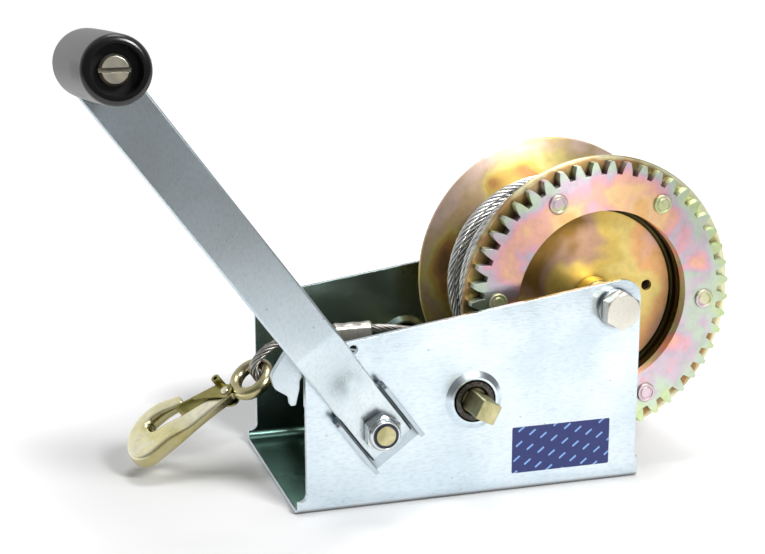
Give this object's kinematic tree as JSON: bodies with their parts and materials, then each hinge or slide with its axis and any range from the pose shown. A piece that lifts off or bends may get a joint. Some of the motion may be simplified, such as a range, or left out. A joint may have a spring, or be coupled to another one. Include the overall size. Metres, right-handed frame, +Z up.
{
  "type": "hand winch",
  "caption": "Hand winch: bent channel frame, dished rope drum with ring gear, countershaft with a square end, crank with turning grip, rocking pawl, wire rope and latched hook.",
  "frame": {"origin": "Centre of the four base bolt holes, on the underside of the base.", "axes": "+X along the side plates from the crank end to the drum end, +Y from the crank side to the far side, +Z up from the base."},
  "size_m": [0.3635, 0.255, 0.253],
  "materials": {
    "blue_white_zinc": "bright blue-white zinc plate",
    "yellow_zinc": "iridescent yellow chromate zinc plate",
    "sintered_bush": "oil-filled sintered iron",
    "nylon": "dark nylon lock ring",
    "black_plastic": "moulded black plastic",
    "galvanised_rope": "galvanised stranded wire",
    "aluminium": "pressed aluminium"
  },
  "bodies": {
    "frame": {"frame": "blue_white_zinc", "drive_bush_front": "sintered_bush", "drive_bush_rear": "sintered_bush", "lay_bush_front": "sintered_bush", "lay_bush_rear": "sintered_bush", "axle_bolt": "blue_white_zinc", "axle_washers": "blue_white_zinc", "axle_nut": "blue_white_zinc", "axle_nut_insert": "nylon", "axle_sleeve": "blue_white_zinc", "drum_spacer_front": "blue_white_zinc", "drum_spacer_rear": "blue_white_zinc", "pawl_pin": "blue_white_zinc", "pawl_spring": "blue_white_zinc", "rope": "galvanised_rope", "rope_turn": "galvanised_rope", "rope_ferrule": "aluminium"},
    "drum": {"drum_flange_front": "yellow_zinc", "drum_wall_front": "yellow_zinc", "drum_web_front": "yellow_zinc", "drum_flange_rear": "yellow_zinc", "drum_wall_rear": "yellow_zinc", "drum_web_rear": "yellow_zinc", "drum_barrel": "yellow_zinc", "drum_hub": "yellow_zinc", "ring_gear": "yellow_zinc", "gear_rivets": "yellow_zinc", "rope_winding": "galvanised_rope", "rope_edge_front": "galvanised_rope", "rope_edge_rear": "galvanised_rope"},
    "countershaft": {"layshaft": "yellow_zinc", "lay_gear": "yellow_zinc", "lay_pinion": "yellow_zinc", "layshaft_clip": "blue_white_zinc"},
    "crank": {"drive_shaft": "yellow_zinc", "drive_pinion": "yellow_zinc", "drive_shaft_clip": "blue_white_zinc", "crank_channel": "blue_white_zinc", "crank_arm": "blue_white_zinc", "crank_nut": "blue_white_zinc", "crank_nut_insert": "nylon", "grip_screw": "yellow_zinc", "grip_nut": "yellow_zinc"},
    "grip": {"grip": "black_plastic"},
    "pawl": {"pawl": "blue_white_zinc"},
    "hook": {"hook": "yellow_zinc", "latch_pin": "yellow_zinc"},
    "hook_latch": {"hook_latch": "yellow_zinc"}
  },
  "joints": [
    {"name": "drum_turn", "type": "hinge", "parent": "frame", "child": "drum", "pos_m": [0.0782, 0, 0.0975], "axis": [0, 1, 0], "continuous": true},
    {"name": "countershaft_turn", "type": "hinge", "parent": "frame", "child": "countershaft", "pos_m": [-0.00067, 0, 0.05414], "axis": [0, 1, 0], "continuous": true},
    {"name": "crank_turn", "type": "hinge", "parent": "frame", "child": "crank", "pos_m": [-0.05413, 0, 0.04653], "axis": [0, 1, 0], "continuous": true},
    {"name": "grip_spin", "type": "hinge", "parent": "crank", "child": "grip", "pos_m": [-0.19263, -0.08805, 0.2344], "axis": [0.0209, -0.9983, 0.0541], "continuous": true},
    {"name": "pawl_rock", "type": "hinge", "parent": "frame", "child": "pawl", "pos_m": [-0.08, 0, 0.0793], "axis": [0, 1, 0], "range_deg": [-13, 13]},
    {"name": "hook_swing", "type": "hinge", "parent": "frame", "child": "hook", "pos_m": [-0.09456, 0.00975, 0.05976], "axis": [-0.1914, 0.9455, 0.2634], "range_deg": [-6, 45]},
    {"name": "latch_open", "type": "hinge", "parent": "hook", "child": "hook_latch", "pos_m": [-0.11502, 0.01089, 0.04538], "axis": [-0.5558, -0.3256, 0.7649], "range_deg": [0, 8], "stiffness_Nm_per_rad": 0.02, "springref_deg": -17.19}
  ],
  "couplings": [
    {"joint": "countershaft_turn", "follows": "drum_turn", "ratio": -4},
    {"joint": "crank_turn", "follows": "drum_turn", "ratio": 8}
  ]
}
